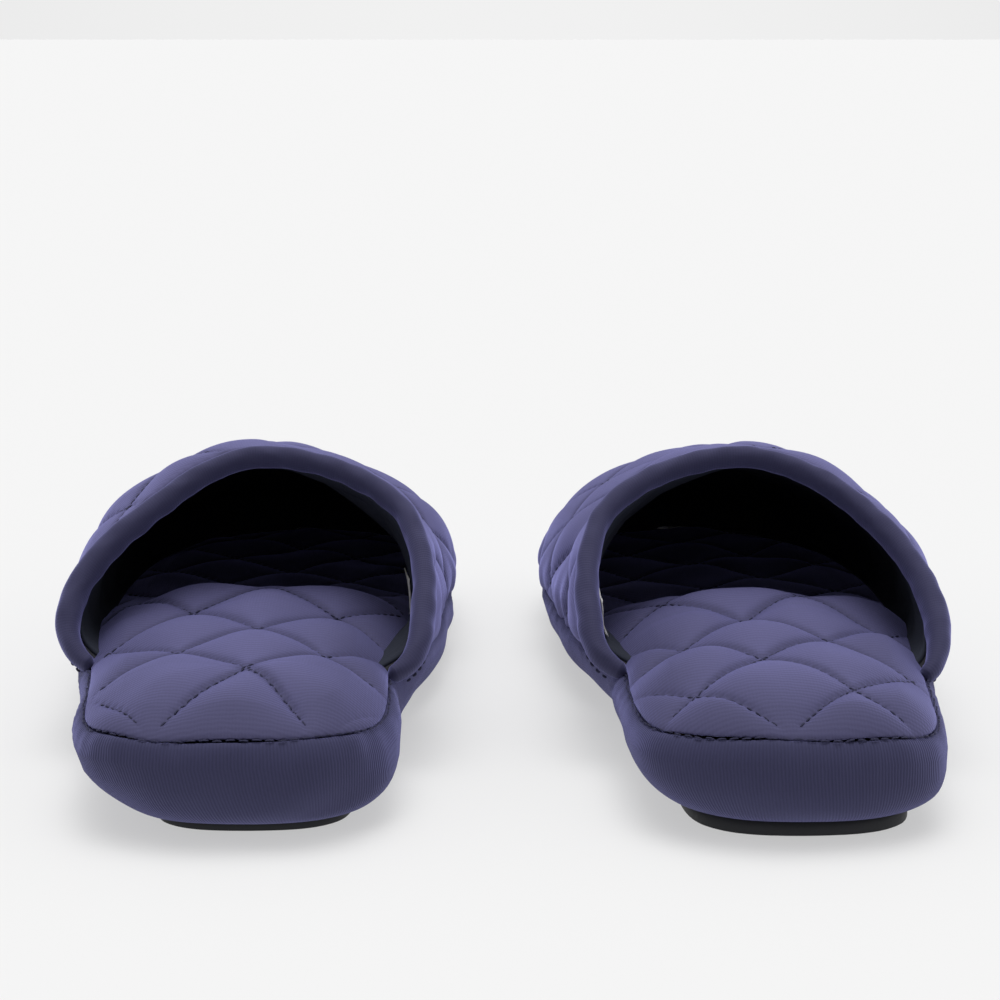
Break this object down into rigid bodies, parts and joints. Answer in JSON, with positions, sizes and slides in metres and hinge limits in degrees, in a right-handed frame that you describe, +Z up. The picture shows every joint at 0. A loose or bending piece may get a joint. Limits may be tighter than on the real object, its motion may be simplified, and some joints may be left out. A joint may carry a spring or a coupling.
{
  "type": "spa slippers",
  "caption": "Pair of closed-toe, open-heel slippers with a diamond-quilted footbed and upper, a padded rolled collar and a fabric-wrapped foam platform.",
  "frame": {"origin": "on the floor, under the middle of the pair", "axes": "+Y from the heels towards the toes, +X towards the right slipper, +Z up from the floor"},
  "size_m": [0.2523, 0.2722, 0.0812],
  "materials": {
    "outsole_rubber": "matt black moulded rubber, fine texture",
    "platform_foam": "closed-cell foam",
    "ribbed_knit": "indigo knit, fine upright ribs, matt",
    "insole_board": "pressed fibre board",
    "padding": "soft wadding and foam",
    "quilted_knit": "indigo smooth knit, diamond quilted, soft sheen",
    "binding_knit": "indigo smooth knit, rolled, soft sheen",
    "dark_lining": "near-black brushed lining",
    "thread": "dark indigo sewing thread",
    "label": "blank white woven tab"
  },
  "bodies": {
    "left_slipper": {"left_outsole": "outsole_rubber", "left_platform_foam": "platform_foam", "left_platform_wrap": "ribbed_knit", "left_insole_board": "insole_board", "left_footbed_padding": "padding", "left_footbed_cover": "quilted_knit", "left_footbed_quilt_thread": "thread", "left_footbed_edge_thread": "thread", "left_upper_shell": "quilted_knit", "left_upper_padding": "padding", "left_upper_lining": "dark_lining", "left_upper_quilt_thread": "thread", "left_collar_binding": "binding_knit", "left_collar_core": "padding", "left_collar_seam_thread": "thread", "left_care_label": "label"},
    "right_slipper": {"right_outsole": "outsole_rubber", "right_platform_foam": "platform_foam", "right_platform_wrap": "ribbed_knit", "right_insole_board": "insole_board", "right_footbed_padding": "padding", "right_footbed_cover": "quilted_knit", "right_footbed_quilt_thread": "thread", "right_footbed_edge_thread": "thread", "right_upper_shell": "quilted_knit", "right_upper_padding": "padding", "right_upper_lining": "dark_lining", "right_upper_quilt_thread": "thread", "right_collar_binding": "binding_knit", "right_collar_core": "padding", "right_collar_seam_thread": "thread", "right_care_label": "label"}
  },
  "joints": [
    {"name": "right_lift", "type": "slide", "parent": "left_slipper", "child": "right_slipper", "axis": [0, 0, 1], "range_m": [0, 0.15]}
  ]
}
